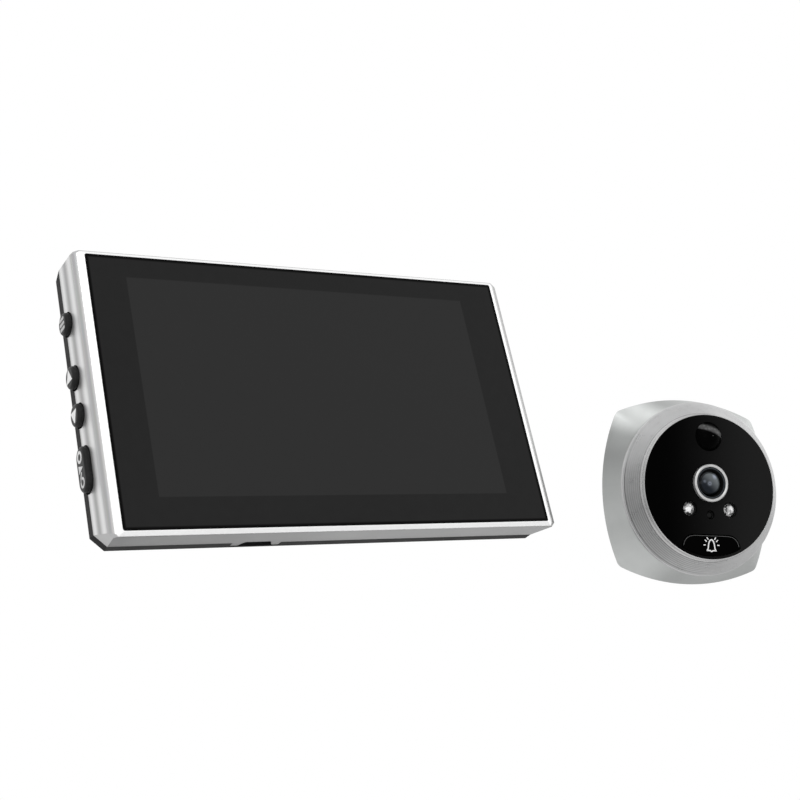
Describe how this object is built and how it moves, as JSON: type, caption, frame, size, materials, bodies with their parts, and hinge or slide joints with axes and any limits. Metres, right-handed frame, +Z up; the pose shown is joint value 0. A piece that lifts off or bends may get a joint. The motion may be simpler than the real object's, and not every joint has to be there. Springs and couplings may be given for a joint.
{
  "type": "door viewer camera with indoor monitor",
  "caption": "Electronic door viewer: flat indoor screen with side buttons on a hooked door plate, and a round faced outdoor camera with doorbell button and door tube.",
  "frame": {"origin": "middle between the door bracket's two screw holes, on the face of the door", "axes": "+Y into the door, +X to the right as seen by somebody facing the screen, +Z up. The camera unit stands to the right and is turned against the monitor as in the picture"},
  "size_m": [0.2488, 0.0537, 0.0927],
  "materials": {
    "black_glass": "gloss",
    "bright_rim": "polished",
    "silver_band": "satin silver",
    "dark_cover": "fine matt",
    "button_black": "satin",
    "display_glass": "gloss",
    "display_metal": "satin",
    "ribbon_amber": "satin",
    "board_green": "satin",
    "plated_steel": "plated",
    "socket_white": "matt",
    "battery_wrap": "satin foil",
    "speaker_black": "matt",
    "switch_black": "matt",
    "unit_silver": "satin grey silver",
    "turned_silver": "fine turned lines",
    "lens_silver": "satin",
    "barrel_black": "matt",
    "lens_glass": "coated",
    "dome_black": "gloss",
    "clear_resin": "clear",
    "carrier_black": "matt",
    "tube_steel": null,
    "gasket_rubber": "matt"
  },
  "bodies": {
    "door_side": {"door_bracket": "plated_steel", "unit_body": "unit_silver", "turned_ring": "turned_silver", "bezel_ring": "bright_rim", "front_disc": "black_glass", "front_carrier": "carrier_black", "lens_ring": "lens_silver", "lens_barrel": "barrel_black", "lens_dome": "lens_glass", "rear_lens": "lens_glass", "lens_holder": "barrel_black", "image_sensor": "switch_black", "pir_dome": "dome_black", "pir_sensor": "plated_steel", "ir_leds": "clear_resin", "light_sensor": "clear_resin", "doorbell_switch": "switch_black", "unit_board": "board_green", "unit_socket": "socket_white", "back_plate": "carrier_black", "plate_screws": "plated_steel", "door_tube": "tube_steel", "door_gasket": "gasket_rubber"},
    "monitor": {"front_glass": "black_glass", "front_rim": "bright_rim", "side_band": "silver_band", "back_cover": "dark_cover", "lcd_panel": "display_glass", "backlight": "display_metal", "display_ribbon": "ribbon_amber", "main_board": "board_green", "processor_shield": "plated_steel", "camera_socket": "socket_white", "battery": "battery_wrap", "speaker": "speaker_black", "charging_port": "plated_steel", "button_board": "board_green", "side_switches": "switch_black", "cover_screws": "plated_steel", "board_screws": "plated_steel"},
    "menu": {"menu_button": "button_black", "menu_plunger": "switch_black"},
    "up": {"up_button": "button_black", "up_plunger": "switch_black"},
    "down": {"down_button": "button_black", "down_plunger": "switch_black"},
    "function": {"function_button": "button_black", "function_plunger": "switch_black"},
    "bell": {"doorbell_button": "button_black", "doorbell_plunger": "switch_black"}
  },
  "joints": [
    {"name": "monitor_lift", "type": "slide", "parent": "door_side", "child": "monitor", "axis": [0, 0, 1], "range_m": [0, 0.0042]},
    {"name": "menu_press", "type": "slide", "parent": "monitor", "child": "menu", "axis": [1, 0, 0], "range_m": [0, 0.00035], "stiffness_N_per_m": 900},
    {"name": "up_press", "type": "slide", "parent": "monitor", "child": "up", "axis": [1, 0, 0], "range_m": [0, 0.00035], "stiffness_N_per_m": 900},
    {"name": "down_press", "type": "slide", "parent": "monitor", "child": "down", "axis": [1, 0, 0], "range_m": [0, 0.00035], "stiffness_N_per_m": 900},
    {"name": "function_press", "type": "slide", "parent": "monitor", "child": "function", "axis": [1, 0, 0], "range_m": [0, 0.00035], "stiffness_N_per_m": 900},
    {"name": "bell_press", "type": "slide", "parent": "door_side", "child": "bell", "axis": [0.2252, 0.9379, 0.2639], "range_m": [0, 0.00045], "stiffness_N_per_m": 1100}
  ]
}
